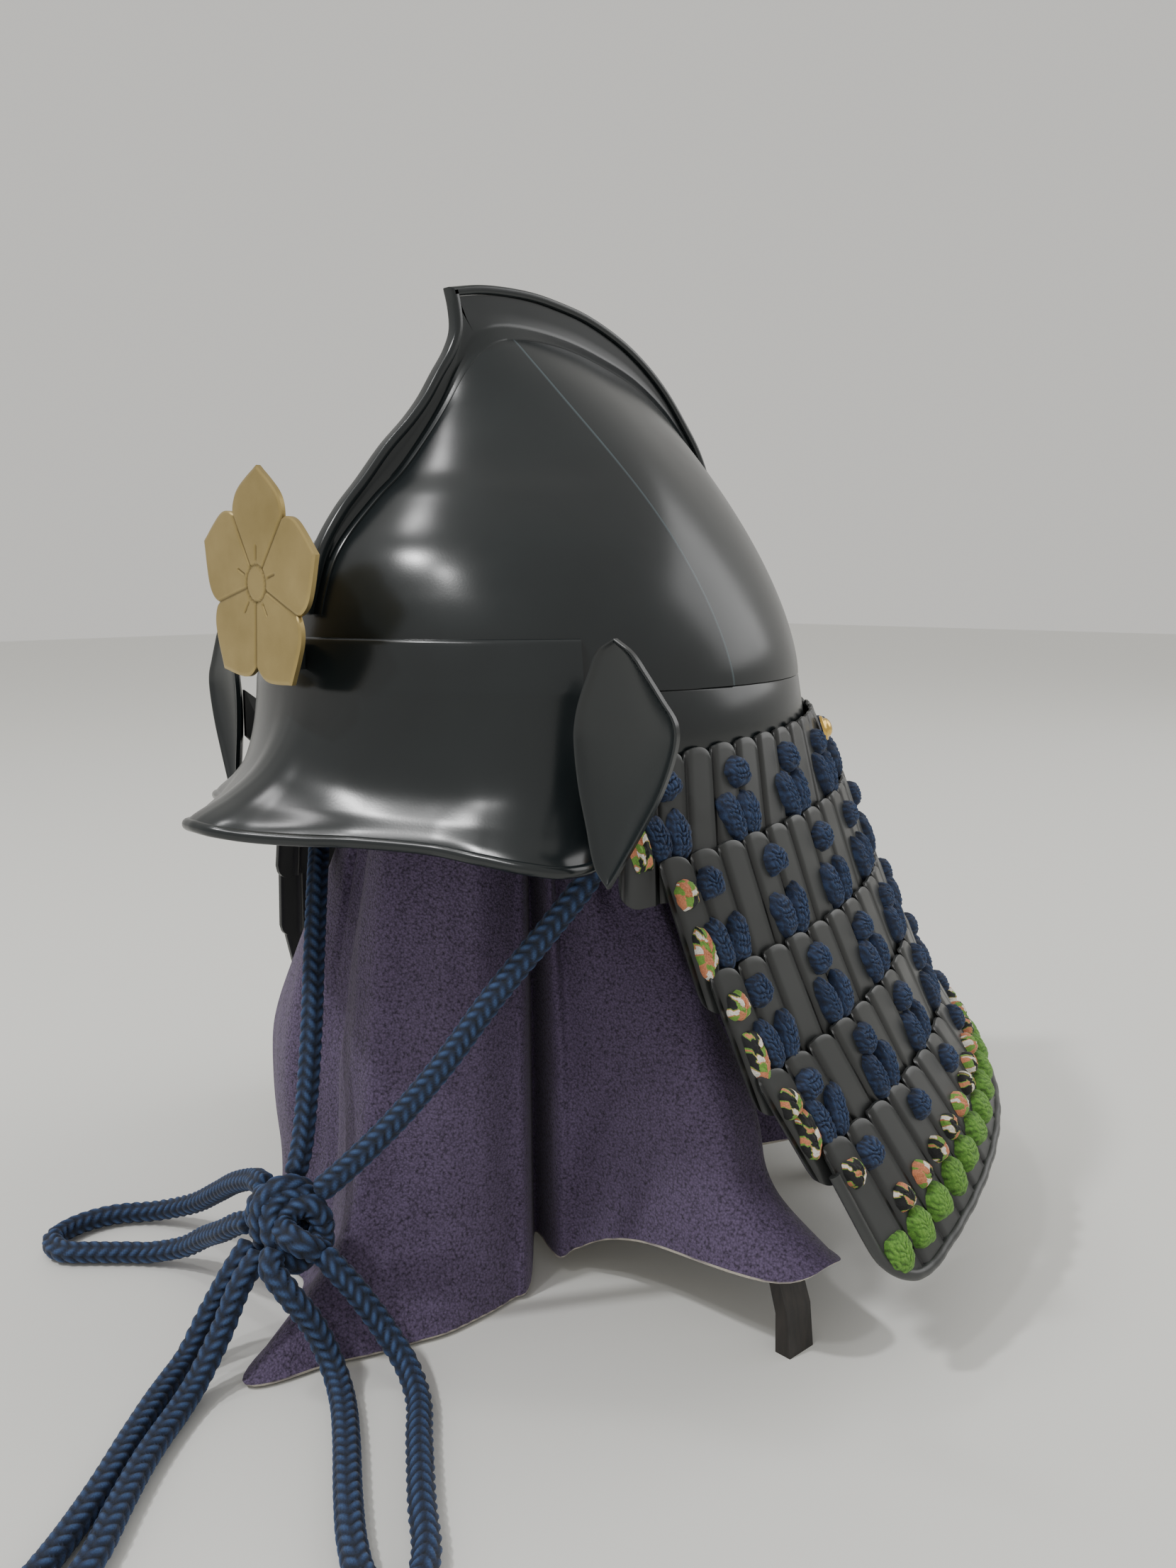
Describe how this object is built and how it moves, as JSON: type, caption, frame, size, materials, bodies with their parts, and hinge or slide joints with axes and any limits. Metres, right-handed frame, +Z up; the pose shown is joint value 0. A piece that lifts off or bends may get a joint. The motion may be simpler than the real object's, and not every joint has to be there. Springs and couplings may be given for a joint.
{
  "type": "samurai helmet on draped display stand",
  "caption": "Smooth pointed iron helmet with a crown ridge, flaring visor, flower crest and laced neck guard, on a plain display stand under a draped cloth, its chin cord tied in a bow.",
  "frame": {"origin": "centre of the bounding box without the free cord, at the floor the feet stand on", "axes": "+Z up from the floor, -Y towards the visor, +X towards the wearer's left; the depth along Y is the shortest extent"},
  "size_m": [0.4032, 0.4736, 0.4082],
  "materials": {
    "black_shell": "satin blue-black lacquer on iron",
    "grey_lames": "satin grey-black lacquer on ribbed lames",
    "gilt_crest": "satin antique gold",
    "bright_boss": "polished",
    "dark_stand": "dark satin",
    "purple_cloth": "matte crepe",
    "navy_cord": "matte braid"
  },
  "bodies": {
    "root": {"bowl_front_left": "black_shell", "bowl_front_right": "black_shell", "bowl_back_left": "black_shell", "bowl_back_right": "black_shell", "visor": "black_shell", "neck_band": "black_shell", "neck_lame_1": "grey_lames", "neck_lame_2": "grey_lames", "neck_lame_3": "grey_lames", "neck_lame_4": "grey_lames", "neck_lame_5": "grey_lames", "stand_cloth_cap": "purple_cloth", "stand_cloth_front_left": "purple_cloth", "stand_cloth_front_right": "purple_cloth", "stand_cloth_left": "purple_cloth", "stand_cloth_right": "purple_cloth", "stand_cloth_back_left": "purple_cloth", "stand_cloth_back_right": "purple_cloth", "ridge_web": "black_shell", "ridge_rim": "black_shell", "crest_flower": "gilt_crest", "crest_bracket": "black_shell", "side_wing_left": "black_shell", "side_wing_right": "black_shell", "wing_strap_left": "black_shell", "wing_strap_right": "black_shell", "brass_boss_left": "bright_boss", "brass_boss_right": "bright_boss", "stand_head": "dark_stand", "stand_post": "dark_stand", "stand_leg_1": "dark_stand", "stand_leg_2": "dark_stand", "stand_leg_3": "dark_stand", "stand_leg_4": "dark_stand", "chin_cord_left": "navy_cord", "chin_cord_right": "navy_cord", "bow_side_loop": "navy_cord", "bow_front_loop": "navy_cord", "tail_left": "navy_cord", "tail_right": "navy_cord", "chin_knot": "navy_cord"}
  },
  "joints": []
}
